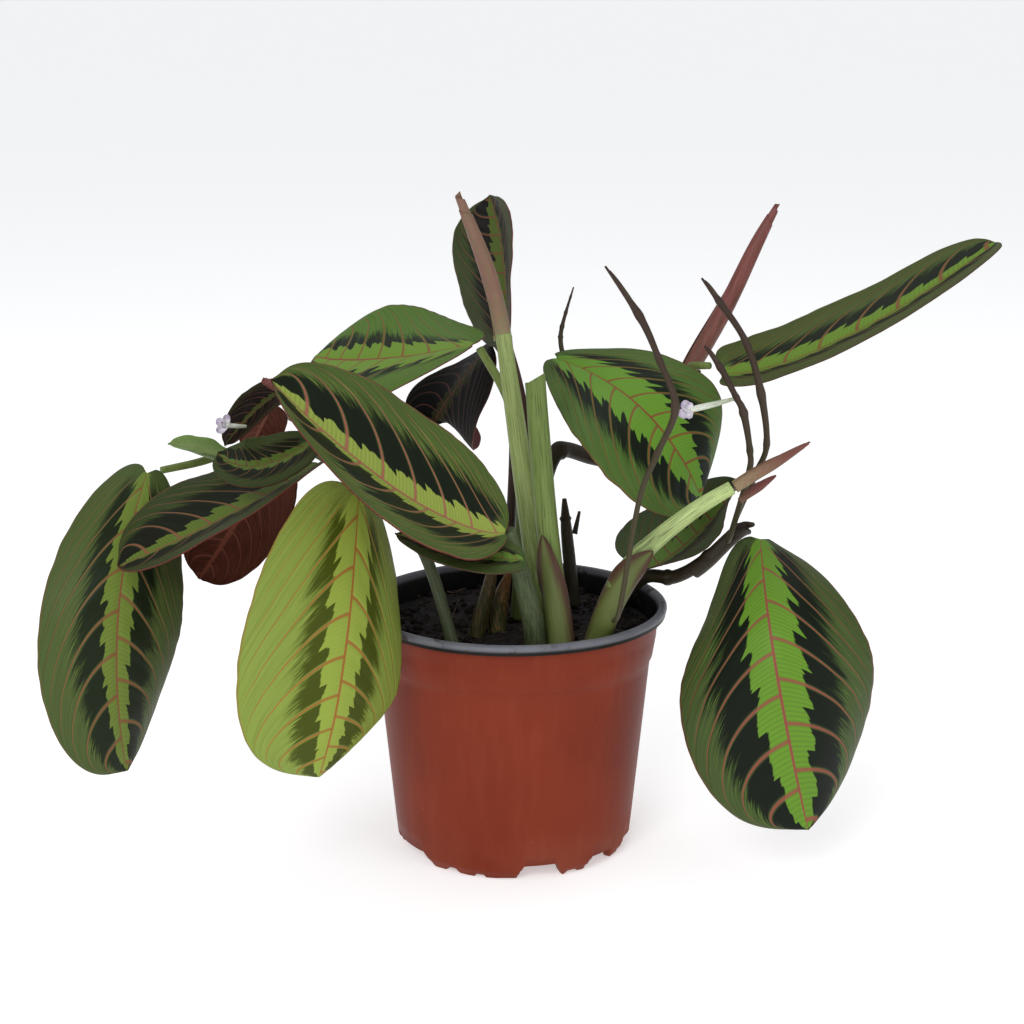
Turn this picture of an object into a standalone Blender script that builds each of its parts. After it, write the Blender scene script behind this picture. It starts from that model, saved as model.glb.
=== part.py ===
"""Potted prayer plant (Maranta leuconeura) in a 12 cm nursery pot.

Metres, +Z up.  The origin is the centre of the pot's underside, on the resting plane.
-Y is the front of the plant, +X its right.
"""
import math

import bmesh
import bpy
from mathutils import Matrix, Vector

MM = 0.001

# driving dimensions of the pot
POT_HEIGHT = 98 * MM
RIM_RADIUS = 60 * MM
RIM_INNER_RADIUS = 56.2 * MM
SHOULDER_RADIUS = 53.6 * MM
SHOULDER_HEIGHT = 77.5 * MM
FOOT_RADIUS = 46.6 * MM
WALL = 1.2 * MM
FLOOR_HEIGHT = 7 * MM
PAD_RADIUS = 17.6 * MM
POT_STEPS = 40

# soil and planting
SOIL_HEIGHT = 88 * MM
GAP = 0.4 * MM
FOOT_LEVEL = SOIL_HEIGHT + GAP
UPRIGHT = 5 * MM

# leaves
LEAF_THICKNESS = 0.9 * MM
LEAF_ROWS = 12
LEAF_COLUMNS = 6
LOBE = 0.075
BASE_ANGLE = 0.05

COLOURS = {
    "terracotta": (0.50, 0.115, 0.045),
    "peat": (0.018, 0.013, 0.011),
    "leaf_green": (0.085, 0.19, 0.035),
    "leaf_dark": (0.025, 0.06, 0.022),
    "leaf_lime": (0.27, 0.40, 0.04),
    "leaf_red": (0.19, 0.035, 0.03),
    "stem_green": (0.19, 0.26, 0.08),
    "stem_grey": (0.10, 0.13, 0.08),
    "stem_brown": (0.065, 0.035, 0.025),
    "rolled_pink": (0.22, 0.08, 0.06),
    "sheath": (0.09, 0.06, 0.04),
    "petal": (0.72, 0.64, 0.72),
    "dry": (0.42, 0.27, 0.13),
}


def millimetres(*values):
    return Vector(values) * MM


def clear_scene():
    for thing in list(bpy.data.objects):
        bpy.data.objects.remove(thing, do_unlink=True)


def new_collection(name):
    collection = bpy.data.collections.new(name)
    bpy.context.scene.collection.children.link(collection)
    return collection


def new_material(name, colour, roughness=0.6):
    material = bpy.data.materials.new(name)
    material.use_nodes = True
    shader = material.node_tree.nodes["Principled BSDF"]
    shader.inputs["Base Color"].default_value = (*colour, 1.0)
    shader.inputs["Roughness"].default_value = roughness
    shader.inputs["Metallic"].default_value = 0.0
    return material


def add_object(name, data, colour, roughness=0.6):
    thing = bpy.data.objects.new(name, data)
    thing.data.materials.append(new_material(name, COLOURS[colour], roughness))
    PLANT.objects.link(thing)
    return thing


def mesh_from(bm, name):
    mesh = bpy.data.meshes.new(name)
    bm.to_mesh(mesh)
    bm.free()
    mesh.shade_smooth()
    return mesh


# ---------------------------------------------------------------- turned pieces

def turned(name, profile, colour, roughness, steps):
    """A profile in millimetres (radius, height), turned about Z."""
    bm = bmesh.new()
    points = [bm.verts.new((radius * MM, 0, height * MM)) for radius, height in profile]
    for first, second in zip(points, points[1:]):
        bm.edges.new((first, second))
    thing = add_object(name, mesh_from(bm, name), colour, roughness)
    screw = thing.modifiers.new("Turn", "SCREW")
    screw.axis = "Z"
    screw.steps = steps
    screw.render_steps = steps
    screw.use_merge_vertices = True
    screw.merge_threshold = 0.00001
    return thing


def pot_profile():
    """Inner floor and wall upwards, over the turned rim, down the outside and under."""
    height = POT_HEIGHT / MM
    rim = RIM_RADIUS / MM
    rim_inner = RIM_INNER_RADIUS / MM
    shoulder = SHOULDER_RADIUS / MM
    shoulder_z = SHOULDER_HEIGHT / MM
    foot = FOOT_RADIUS / MM
    wall = WALL / MM
    floor = FLOOR_HEIGHT / MM
    pad = PAD_RADIUS / MM
    collar = rim - 3.2
    inside = [
        (0, wall), (pad - wall, wall), (pad, floor + wall), (foot - wall - 1.0, floor + wall),
        (foot - wall + 0.2, floor + wall + 1.0), (shoulder - wall, shoulder_z),
        (shoulder - wall + 1.5, shoulder_z + 1.4), (collar - wall, height - 4),
        (rim_inner, height - 0.9), (rim_inner + 0.9, height),
    ]
    outside = [
        (rim - 1.0, height), (rim, height - 0.9), (rim, height - 3.0), (rim - 0.6, height - 3.7),
        (collar, height - 3.7), (collar - 0.4, height - 6), (shoulder + 1.7, shoulder_z + 1.0),
        (shoulder, shoulder_z - 0.4), (foot + 0.2, floor), (foot, 2.2), (foot - 0.6, 0.6),
        (foot - 1.5, 0), (foot - 3.6, 0), (foot - 3.9, floor - 0.8), (foot - 4.7, floor),
        (pad + 1.6, floor), (pad + 0.4, 0.4), (pad, 0), (0, 0),
    ]
    return inside + outside


def add_cutter(name, size, location, turn):
    bm = bmesh.new()
    bmesh.ops.create_cube(bm, size=1.0)
    bmesh.ops.scale(bm, vec=size, verts=bm.verts)
    cutter = bpy.data.objects.new(name, mesh_from(bm, name))
    cutter.location = location
    cutter.rotation_euler = (0, 0, turn)
    cutter.hide_render = True
    cutter.display_type = "WIRE"
    CUTTERS.objects.link(cutter)
    return cutter


def cut(thing, cutter):
    boolean = thing.modifiers.new(cutter.name, "BOOLEAN")
    boolean.operation = "DIFFERENCE"
    boolean.solver = "EXACT"
    boolean.object = cutter


def build_pot():
    pot = turned("pot", pot_profile(), "terracotta", 0.45, POT_STEPS)
    ring = FOOT_RADIUS - 2 * MM
    notches = ((-118, 9, 5.2), (-100, 3, 2.2), (-81, 5, 2.4), (-62, 10, 5.2), (-44, 3.5, 2.4),
               (-18, 9, 5.2), (22, 9, 5.2), (62, 9, 5.2), (102, 9, 5.2), (142, 9, 5.2), (182, 9, 5.2),
               (-142, 4, 5.2))
    for index, (degrees, width, depth) in enumerate(notches):
        angle = math.radians(degrees)
        place = (ring * math.cos(angle), ring * math.sin(angle), 0)
        size = (8 * MM, width * MM, 2 * depth * MM)
        cut(pot, add_cutter(f"notch_{index}", size, place, angle))
    hole_circle = 31 * MM
    for index in range(6):
        angle = math.radians(60 * index + 12)
        place = (hole_circle * math.cos(angle), hole_circle * math.sin(angle), FLOOR_HEIGHT)
        cut(pot, add_cutter(f"drain_{index}", (9 * MM, 9 * MM, 6 * MM), place, angle))
    return pot


def build_soil():
    top = SOIL_HEIGHT / MM
    shoulder = SHOULDER_RADIUS / MM - WALL / MM
    shoulder_z = SHOULDER_HEIGHT / MM
    floor = (FLOOR_HEIGHT + WALL + GAP) / MM
    profile = [(0, top), (53.0, top), (53.8, top - 1.0), (shoulder + 0.9, shoulder_z + 1.4),
               (shoulder - 0.6, shoulder_z), (FOOT_RADIUS / MM - 2.0, floor + 1.6),
               (FOOT_RADIUS / MM - 3.4, floor), (0, floor)]
    return turned("potting_soil", profile, "peat", 0.95, 32)


# ---------------------------------------------------------------- stems

def stem(name, route, colour, sides=8, steps=3):
    """A round stem along a smooth route of (x, y, z, radius) points in millimetres."""
    curve = bpy.data.curves.new(name, "CURVE")
    curve.dimensions = "3D"
    curve.resolution_u = steps
    curve.bevel_depth = MM
    curve.bevel_resolution = sides // 2 - 2
    curve.use_fill_caps = True
    spline = curve.splines.new("BEZIER")
    spline.bezier_points.add(len(route) - 1)
    for point, (x, y, z, radius) in zip(spline.bezier_points, route):
        point.co = millimetres(x, y, z)
        point.radius = radius
        point.handle_left_type = "AUTO"
        point.handle_right_type = "AUTO"
    first = spline.bezier_points[0]
    if abs(first.co.z - FOOT_LEVEL) < GAP:
        # a stem leaves the soil upright, so its cut face lies flat over it
        first.handle_left_type = "FREE"
        first.handle_right_type = "FREE"
        first.handle_left = first.co - Vector((0, 0, UPRIGHT))
        first.handle_right = first.co + Vector((0, 0, UPRIGHT))
    return add_object(name, curve, colour, 0.5)


FOOT_Z = FOOT_LEVEL / MM

STEMS = {
    # the tall centre shoot and the cut stem beside it
    "tall_shoot": ("stem_green", [(12, -28, FOOT_Z, 4.0), (7, -16, 128, 4.4), (1, -8, 168, 3.7),
                                  (-4, -3, 203, 3.0)]),
    "cut_stem": ("stem_green", [(18, -38, FOOT_Z, 4.4), (14, -30, 122, 4.3), (11, -25, 151, 4.2),
                                (8, -20, 190, 3.9)]),
    "front_shoot": ("stem_grey", [(8.5, -41.5, FOOT_Z, 4.0), (4, -45, 116, 3.7), (-2, -50, 139, 2.6)]),
    # the right shoot runs on as the pale petiole of its rolled leaf
    "right_shoot": ("stem_green", [(30, -34, FOOT_Z, 4.0), (38, -39, 112, 4.4), (47, -41, 127, 3.6),
                                   (65, -42, 143, 3.0), (80, -40, 152, 2.6)]),
    "rear_shoot": ("stem_brown", [(40, 18, FOOT_Z, 2.8), (52, 15, 102, 2.7), (64, 8, 104.5, 2.7),
                                  (75, 2, 113, 2.5), (87, -1, 126, 2.0), (92, -9, 130, 0.9)]),
    "runner": ("stem_brown", [(10, 14, FOOT_Z, 3.2), (10, 16, 125, 3.2), (17, 22, 152, 3.2),
                              (36, 40, 146, 3.0), (58, 51, 152, 2.8), (73.4, 50, 181, 3.0)]),
    "left_shoot": ("stem_grey", [(-22, -38, FOOT_Z, 2.4), (-34, -28, 125, 2.2), (-54, -8, 142, 2.0),
                                 (-78, 6, 156, 1.9), (-98, 8, 160, 1.8)]),
    "forked_stub": ("stem_brown", [(24, 24, FOOT_Z, 2.6), (21, 30, 117, 2.4), (20, 32, 131, 0.9)]),
    "stub_branch": ("stem_brown", [(24.6, 34, 116, 1.2), (26.6, 36, 125, 0.6)]),
    "young_shoot": ("sheath", [(-6, -12, FOOT_Z, 3.6), (-5, -11, 102, 3.2), (-1, -10, 113, 0.8)]),
    "side_shoot": ("sheath", [(-14, -18, FOOT_Z, 3.2), (-10, -17, 106, 2.9), (-7, -16, 120, 1.2)]),
    # petioles
    "upper_petiole": ("stem_green", [(1, 6, FOOT_Z, 2.2), (3, 10, 140, 2.1), (-1, 12, 172, 1.9),
                                     (-13, 9, 196, 1.6)]),
    "tall_petiole": ("stem_brown", [(6, 25, FOOT_Z, 2.2), (8, 30, 140, 2.1), (3, 37, 172, 1.9),
                                    (-2.6, 44, 193, 1.6)]),
    "dark_petiole": ("stem_brown", [(-3, 31, FOOT_Z, 2.0), (0, 43, 150, 1.9), (-3, 50, 182, 1.7),
                                    (-8.6, 57.4, 191.2, 1.3)]),
    "centre_petiole": ("stem_brown", [(33, 45, 150.5, 1.6), (27, 50, 168, 1.6), (19, 41, 184.5, 1.5)]),
    "arm_petiole": ("stem_brown", [(72, 40, 182, 1.6), (70, 27, 186, 1.6), (76.4, 19.8, 187.4, 1.4)]),
    "low_petiole": ("stem_green", [(38, 0, FOOT_Z, 2.0), (42, 1, 102, 1.8), (49, 3.6, 108.4, 1.3)]),
    "left_petiole": ("stem_green", [(-101, 8, 159.5, 1.6), (-119, 5, 153, 1.6), (-134.5, -6, 151.5, 1.4)]),
    "yellow_petiole": ("stem_green", [(-50, -14, 144, 1.5), (-51, -34, 153, 1.5), (-55, -49.5, 154.5, 1.4)]),
    # rolled young leaves
    "tall_rolled_leaf": ("rolled_pink", [(-4.3, -2.8, 204, 3.3), (-11, -1, 230, 3.1), (-21, 1, 256, 1.8)]),
    "right_rolled_leaf": ("rolled_pink", [(81, -40, 152.6, 2.4), (95, -38, 161, 2.2), (109, -35, 168.5, 0.6)]),
    "right_young_leaf": ("rolled_pink", [(84, -30, 145, 1.2), (91, -28, 150, 1.8), (98, -26, 154, 0.5)]),
    "upper_rolled_leaf": ("rolled_pink", [(74, 50, 184.6, 3.9), (85.5, 51, 206, 3.6), (96.5, 52, 229, 2.9),
                                          (105.5, 53, 246, 1.5)]),
    "left_rolled_tip": ("rolled_pink", [(-82, -2, 176, 1.5), (-88, -3, 181, 1.8), (-95, -5, 186, 1.6)]),
    "thin_bract": ("stem_brown", [(20, 47, 186, 1.0), (19, 48, 196, 0.9), (24, 50, 214, 0.3)]),
}

FLOWER_STALKS = {
    "front_flower_stalk": [(39, -54, 112, 1.0), (45, -57, 152, 1.0), (51, -58, 169, 1.1),
                           (57, -62, 187, 1.3), (51, -60, 204, 1.1), (44, -58, 219, 1.3), (32, -55, 236, 0.4)],
    "inner_flower_stalk": [(83.5, -7.5, 127, 1.1), (88, -22, 154, 1.2), (88, -24, 163, 1.1), (85, -26, 178, 1.4),
                           (82, -27, 184, 1.1), (76, -27, 195, 1.2), (70, -26, 203, 0.4)],
    "outer_flower_stalk": [(86, 3.6, 129, 1.1), (92, -10, 151, 1.2), (95, -17, 164, 1.1), (92, -20, 184, 1.4),
                           (86, -20, 203, 1.2), (76, -20, 218, 1.2), (69, -20, 227, 0.4)],
}

FLOWERS = {
    "right_flower": [(80, -29, 184, 0.7), (73, -31, 182.5, 1.3), (67, -33, 181.5, 1.6), (62, -35, 181, 3.6)],
    "left_flower": [(-100, -14, 170.5, 0.7), (-105, -17, 171.5, 1.2), (-110, -20, 172.5, 3.2)],
}


def build_stems():
    for name, (colour, route) in STEMS.items():
        stem(name, route, colour)
    for name, route in FLOWER_STALKS.items():
        stem(name, route, "stem_brown", sides=6, steps=2)
    for name, route in FLOWERS.items():
        stem(name, route, "petal", sides=8, steps=3)


# ---------------------------------------------------------------- leaves

# base, mid and tip of the midrib and the half width are millimetres, angles are degrees;
# "faces" is the way the upper side looks, "fold" lifts the halves (left, right) from the midrib,
# "belly" is where the blade is widest and "round" how blunt its outline is (less is blunter)
LEAVES = {
    "front_leaf": dict(base=(-3, -56, 140), mid=(-37, -59, 154), tip=(-83, -73, 198),
                       faces=(0.37, -0.39, 0.84), half=38, fold=(17, 15), belly=0.56, round=0.9,
                       colour="leaf_dark"),
    "yellow_leaf": dict(base=(-56, -52, 152), mid=(-60, -82, 98), tip=(-70, -79, 55),
                        faces=(0.51, -0.86, -0.04), half=39, fold=(-14, 5), curl=-27, belly=0.52,
                        round=0.85, colour="leaf_lime"),
    "left_leaf": dict(base=(-139, -12, 151.5), mid=(-146, -46, 104), tip=(-148, -32, 40),
                      faces=(0.3, -0.83, 0.48), half=29, fold=(-11, 7), curl=-29, twist=-20, belly=0.6,
                      round=0.8, lobe=0.11, colour="leaf_green"),
    "right_leaf": dict(base=(94, -15, 126), mid=(95, -60, 92), tip=(110, -55, 25),
                       faces=(-0.02, -1.0, -0.1), half=41, fold=(-6, -12), curl=-32, twist=-42,
                       belly=0.66, round=0.74, lobe=0.14, colour="leaf_dark"),
    "centre_leaf": dict(base=(17, 37, 187.5), mid=(49, -2, 175), tip=(72, -3, 141),
                        faces=(0.22, -0.75, 0.62), half=34, fold=(2, 11), curl=-13, twist=-23,
                        belly=0.66, round=0.95, lobe=0.13, colour="leaf_green"),
    "arm_leaf": dict(base=(83.5, 25, 183.5), mid=(130, 34, 196), tip=(194, 58, 230.5),
                     faces=(-0.41, -0.28, 0.87), half=20, fold=(18, 14), twist=-8, belly=0.5,
                     round=0.5, lobe=0.1, colour="leaf_green"),
    "low_leaf": dict(base=(52, 5, 110), mid=(71, 25, 117), tip=(91, 34, 138),
                     faces=(-0.08, -0.17, 0.98), half=27, fold=(8, 29), curl=5, twist=-14,
                     colour="leaf_green"),
    "purple_backed_leaf": dict(base=(-74, -14, 156), mid=(-103, -40, 144), tip=(-143, -53, 127),
                               faces=(0.01, -0.17, 0.99), half=33, fold=(25, 5), twist=-33,
                               round=0.84, colour="leaf_dark"),
    "upper_leaf": dict(base=(-16, 8, 198), mid=(-56, 40, 187), tip=(-82, 75, 182),
                       faces=(-0.13, -0.53, 0.84), half=36, fold=(3, 5), curl=-15, twist=-38,
                       belly=0.61, round=0.83, colour="leaf_green"),
    "tall_leaf": dict(base=(-3, 45, 195), mid=(-5, 60, 223), tip=(-10, 67, 248),
                      faces=(-0.63, -0.63, -0.46), half=31, fold=(9, 23), belly=0.54, round=0.84,
                      colour="leaf_dark"),
    "dark_leaf": dict(base=(-10, 60, 189), mid=(-28, 86, 162), tip=(-34, 94, 149),
                      faces=(0.11, -0.65, 0.75), half=26, fold=(-10, -5), curl=-28, twist=-7,
                      belly=0.47, round=0.83, colour="leaf_dark"),
    "under_leaf": dict(base=(3, -61, 131.5), mid=(-17, -63, 134.5), tip=(-42, -58, 140),
                       faces=(0.25, -0.42, 0.85), half=12, fold=(10, 10), round=1.1,
                       colour="leaf_green"),
    "red_backed_leaf": dict(base=(-96, 20, 150), mid=(-109, 22, 126), tip=(-124, 12, 104),
                            faces=(0.1, 0.97, 0.2), half=19, fold=(8, 8), curl=10, colour="leaf_red"),
    "curled_leaf": dict(base=(-76, -27, 167), mid=(-94, -38, 161), tip=(-108, -37, 165),
                        faces=(0, -0.75, 0.66), half=11, fold=(15, 15), colour="leaf_green"),
    "folded_leaf": dict(base=(-88, 12, 179), mid=(-98, 5, 174), tip=(-110, -3, 161),
                        faces=(-0.3, -0.8, 0.5), half=8, fold=(25, 25), round=0.9, colour="leaf_dark"),
    "pink_backed_leaf": dict(base=(-95, 24, 171), mid=(-99, 27, 163), tip=(-105, 26, 152),
                             faces=(0.1, 0.97, 0.2), half=9, fold=(8, 8), colour="leaf_red"),
    "boat_bract": dict(base=(-107, -3, 153), mid=(-118, -9, 158.5), tip=(-130, -13, 163.5),
                       faces=(0, -0.4, 0.9), half=7, fold=(30, 30), curl=20, colour="leaf_lime"),
    # sheaths are narrow blades that look inwards, towards their stem
    "cut_stem_sheath": dict(base=(18.6, -46.9, 92.5), mid=(14.9, -40.2, 118), tip=(8, -34, 146),
                            faces=(-0.1, 0.97, 0.2), half=8, fold=(25, 25), curl=60, lobe=0, belly=0.35,
                            colour="sheath"),
    "right_sheath": dict(base=(32.5, -45.6, 101), mid=(41, -49.4, 117), tip=(52, -50, 140),
                         faces=(0, 0.97, 0.2), half=8, fold=(25, 25), curl=60, lobe=0, belly=0.35,
                         colour="sheath"),
    "rear_sheath": dict(base=(64.5, -0.6, 101), mid=(76, -5.5, 111), tip=(83, -4, 128),
                        faces=(-0.4, 0.5, 0.8), half=5, fold=(25, 25), curl=60, lobe=0, belly=0.4,
                        colour="sheath"),
}


def midrib_point(leaf, along):
    base, mid, tip = (Vector(leaf[key]) for key in ("base", "mid", "tip"))
    return (base * (1 - along) * (1 - 2 * along) + mid * 4 * along * (1 - along)
            + tip * along * (2 * along - 1))


def midrib_direction(leaf, along):
    base, mid, tip = (Vector(leaf[key]) for key in ("base", "mid", "tip"))
    return (base * (4 * along - 3) + mid * (4 - 8 * along) + tip * (4 * along - 1)).normalized()


def blade_point(leaf, row, side):
    """Place of a blade point: row runs 0..1 from base to tip, side -1..1 across the midrib."""
    angle = BASE_ANGLE + (math.pi - BASE_ANGLE) * row
    breadth = max(math.sin(angle), 0.0) ** leaf.get("round", 0.8)
    bias = math.log(leaf.get("belly", 0.5)) / math.log(0.5)
    centre = ((1 - math.cos(math.pi * row)) / 2) ** bias
    margin = centre - leaf.get("lobe", LOBE) * breadth ** 0.5 * (1 - centre) ** 6
    along = centre + (margin - centre) * abs(side) ** 1.3
    direction = midrib_direction(leaf, along)
    normal = Vector(leaf["faces"])
    normal = (normal - direction * normal.dot(direction)).normalized()
    normal = Matrix.Rotation(math.radians(leaf.get("twist", 0)) * (along - 0.5), 3, direction) @ normal
    sideways = direction.cross(normal)
    fold = math.radians(leaf["fold"][1 if side > 0 else 0])
    curl = math.radians(leaf.get("curl", 0)) + 1e-6
    out = (math.sin(fold + curl * abs(side)) - math.sin(fold)) / curl
    lift = (math.cos(fold) - math.cos(fold + curl * abs(side))) / curl
    reach = leaf["half"] * breadth
    place = midrib_point(leaf, along) + sideways * math.copysign(out, side) * reach + normal * lift * reach
    return place * MM


def build_leaf(name, leaf, rows=LEAF_ROWS, columns=LEAF_COLUMNS):
    bm = bmesh.new()
    bmesh.ops.create_grid(bm, x_segments=rows, y_segments=columns, size=1.0)
    for vert in bm.verts:
        vert.co = blade_point(leaf, (vert.co.x + 1) / 2, -vert.co.y)
    bmesh.ops.remove_doubles(bm, verts=bm.verts, dist=0.01 * MM)
    thing = add_object(name, mesh_from(bm, name), leaf["colour"], 0.5)
    solid = thing.modifiers.new("Thickness", "SOLIDIFY")
    solid.thickness = LEAF_THICKNESS
    solid.offset = -1
    return thing


def build_leaves():
    for name, leaf in LEAVES.items():
        build_leaf(name, leaf)


# ---------------------------------------------------------------- litter on the soil

def build_litter():
    """One dry leaf scrap lying on the soil between the shoots."""
    scrap = dict(base=(13, -50, 90), mid=(16.5, -50.2, 91), tip=(20, -50, 90),
                 faces=(0, 0, 1), half=1.8, fold=(10, 10), lobe=0)
    scrap["colour"] = "dry"
    build_leaf("dry_scrap", scrap, rows=6, columns=4)


clear_scene()
PLANT = new_collection("potted_prayer_plant")
CUTTERS = new_collection("cutters")
build_pot()
build_soil()
build_stems()
build_leaves()
build_litter()
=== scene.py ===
"""Potted prayer plant: a terracotta-coloured nursery pot, peat, sheathed shoots and herringbone leaves."""
import math
import random

import bmesh
import bpy
from mathutils import Matrix, Vector, noise


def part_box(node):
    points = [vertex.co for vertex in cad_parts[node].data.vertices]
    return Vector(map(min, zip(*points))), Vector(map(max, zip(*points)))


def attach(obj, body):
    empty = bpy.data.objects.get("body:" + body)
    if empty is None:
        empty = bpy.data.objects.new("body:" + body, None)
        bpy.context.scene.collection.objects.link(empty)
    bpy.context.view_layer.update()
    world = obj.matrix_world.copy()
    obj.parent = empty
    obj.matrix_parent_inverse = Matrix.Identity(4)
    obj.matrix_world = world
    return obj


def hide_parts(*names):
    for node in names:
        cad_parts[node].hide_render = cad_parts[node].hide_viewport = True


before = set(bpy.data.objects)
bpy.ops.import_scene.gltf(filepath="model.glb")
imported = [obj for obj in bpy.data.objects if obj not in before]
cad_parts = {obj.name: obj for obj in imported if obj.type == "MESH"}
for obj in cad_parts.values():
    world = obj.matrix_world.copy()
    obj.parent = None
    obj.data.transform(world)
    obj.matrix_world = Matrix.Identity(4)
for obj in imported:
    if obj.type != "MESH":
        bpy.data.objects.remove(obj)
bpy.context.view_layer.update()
MM = 0.001

# The camera stands a little above the top of the plant and 0.8 m in front of the pot's axis. It looks
# slightly down, so the front of the rim shows its inside.
CAMERA_SPOT = (0.0, -0.80, 0.3326)
LOOKS_DOWN = math.radians(13.97)
camera_data = bpy.data.cameras.new("camera")
camera_data.sensor_width = 36.0
camera_data.lens = 74.95
camera_data.shift_x = -0.0016
camera_data.clip_start = 0.05
camera_data.clip_end = 200.0
camera = bpy.data.objects.new("camera", camera_data)
camera.location = CAMERA_SPOT
camera.rotation_euler = (math.radians(90.0) - LOOKS_DOWN, 0.0, 0.0)
bpy.context.scene.collection.objects.link(camera)
bpy.context.scene.camera = camera
bpy.context.scene.view_settings.view_transform = "Standard"


# Studio: one seamless pale floor, a large soft key light from the upper left, a weaker fill from the
# right, a broad light above and behind, and an even pale surround. Shader wires are built here too.
class Wire:
    """One shader socket that ordinary arithmetic works on."""

    def __init__(self, tree, socket=None):
        self.tree = tree
        self.socket = socket

    def node(self, kind, settings=None, inputs=None, out=0):
        """A new node: its settings first, then the values or wires of its sockets."""
        new = self.tree.nodes.new(kind)
        for key, value in (settings or {}).items():
            if key == "stops":
                ramp = new.color_ramp.elements
                while len(ramp) < len(value):
                    ramp.new(0.5)
                for element, (place, colour) in zip(ramp, value):
                    element.position = place
                    element.color = (*colour, 1.0)
            else:
                setattr(new, key, value)
        for key, value in (inputs or {}).items():
            if isinstance(value, Wire):
                self.tree.links.new(value.socket, new.inputs[key])
            else:
                new.inputs[key].default_value = value
        return Wire(self.tree, new.outputs[out])

    def math(self, operation, *others):
        return self.node("ShaderNodeMath", {"operation": operation}, dict(enumerate((self, *others))))

    def __add__(self, other):
        return self.math("ADD", other)

    def __sub__(self, other):
        return self.math("SUBTRACT", other)

    def __rsub__(self, other):
        return self.math("MULTIPLY_ADD", -1.0, other)

    def __mul__(self, other):
        return self.math("MULTIPLY", other)

    def __pow__(self, other):
        return self.math("POWER", other)

    def __mod__(self, other):
        return self.math("FLOORED_MODULO", other)

    def __abs__(self):
        return self.math("ABSOLUTE")

    __radd__ = __add__
    __rmul__ = __mul__

    def rise(self, low, high):
        """0 below low, 1 above high, smooth between."""
        return self.node("ShaderNodeMapRange", {"interpolation_type": "SMOOTHSTEP"},
                         {"Value": self, "From Min": low, "From Max": high})

    def blend(self, first, second):
        """The first colour where this mask is 0, the second where it is 1."""
        first, second = (c if isinstance(c, Wire) else (*c, 1.0) for c in (first, second))
        return self.node("ShaderNodeMix", {"data_type": "RGBA"}, {0: self, 6: first, 7: second}, 2)

    def axis(self, number):
        """One of the three parts of this vector."""
        return self.node("ShaderNodeSeparateXYZ", {}, {0: self}, number)

    def vector(self, *parts):
        """A vector of three values or wires."""
        return self.node("ShaderNodeCombineXYZ", {}, dict(enumerate(parts)))

    def local(self):
        """Places in the piece's own Object coordinates."""
        return self.node("ShaderNodeTexCoord", out=3)

    def blade(self):
        """Places in the piece's own UV map."""
        return self.node("ShaderNodeUVMap", {"uv_map": "blade"})

    def grain(self, where, scale, detail=2.0, roughness=0.5):
        """Noise around 0.5 at the given places."""
        return self.node("ShaderNodeTexNoise", {"noise_dimensions": "3D"},
                         {"Vector": where, "Scale": scale, "Detail": detail, "Roughness": roughness})


def new_surface(name, roughness=0.5, **fixed):
    """A material, its Principled shader and a loose wire to start its pattern from."""
    material = bpy.data.materials.new(name)
    material.use_nodes = True
    shader = material.node_tree.nodes["Principled BSDF"]
    shader.inputs["Roughness"].default_value = roughness
    for socket, value in fixed.items():
        shader.inputs[socket.replace("_", " ")].default_value = value
    return material, shader, Wire(material.node_tree)


def feed(shader, socket, wire):
    """Runs a wire into one of the shader's sockets."""
    wire.tree.links.new(wire.socket, shader.inputs[socket])


def raise_bumps(shader, height, distance, strength):
    """Bumps up to this distance in metres from a wire of heights."""
    bump = height.node("ShaderNodeBump", {}, {"Height": height, "Distance": distance, "Strength": strength})
    feed(shader, "Normal", bump)


def show(name, bm, *materials):
    """A finished bmesh as an object of the scene, its place in its mesh."""
    mesh = bpy.data.meshes.new(name)
    bm.to_mesh(mesh)
    bm.free()
    mesh.shade_smooth()
    for material in materials:
        mesh.materials.append(material)
    thing = bpy.data.objects.new(name, mesh)
    bpy.context.scene.collection.objects.link(thing)
    return thing


FLOOR_HALF = 40.0
FLOOR_GLOW = 0.45
floor_material, floor_shader, loose = new_surface("studio_floor", 0.9)
floor_shader.inputs["Specular IOR Level"].default_value = 0.1
floor_shader.inputs["Emission Color"].default_value = (1.0, 1.0, 1.0, 1.0)
floor_shader.inputs["Emission Strength"].default_value = FLOOR_GLOW
floor_tone = loose.grain(loose.local(), 3.0)
feed(floor_shader, "Base Color", floor_tone.blend((0.86, 0.86, 0.86), (0.88, 0.88, 0.88)))
bm = bmesh.new()
bmesh.ops.create_grid(bm, x_segments=1, y_segments=1, size=FLOOR_HALF)
floor = show("studio_floor", bm, floor_material)


def add_light(name, place, target, size, power):
    """A square area light, its side in metres and its power in watts, turned to the target."""
    light = bpy.data.lights.new(name, "AREA")
    light.shape = "SQUARE"
    light.size = size
    light.energy = power
    lamp = bpy.data.objects.new(name, light)
    lamp.location = place
    lamp.rotation_euler = (Vector(target) - Vector(place)).to_track_quat("-Z", "Y").to_euler()
    bpy.context.scene.collection.objects.link(lamp)


PLANT_CENTRE = (0.0, 0.0, 0.14)
add_light("key", (-0.45, -1.35, 0.95), PLANT_CENTRE, 0.7, 12.0)
add_light("fill", (1.1, -0.9, 0.55), PLANT_CENTRE, 1.0, 2.5)
add_light("top", (0.1, 0.4, 1.5), PLANT_CENTRE, 1.0, 4.0)
world = bpy.data.worlds.new("surround")
world.use_nodes = True
sky = world.node_tree.nodes["Background"]
sky.inputs["Color"].default_value = (0.95, 0.97, 1.0, 1.0)
sky.inputs["Strength"].default_value = 0.52
bpy.context.scene.world = world


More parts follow.
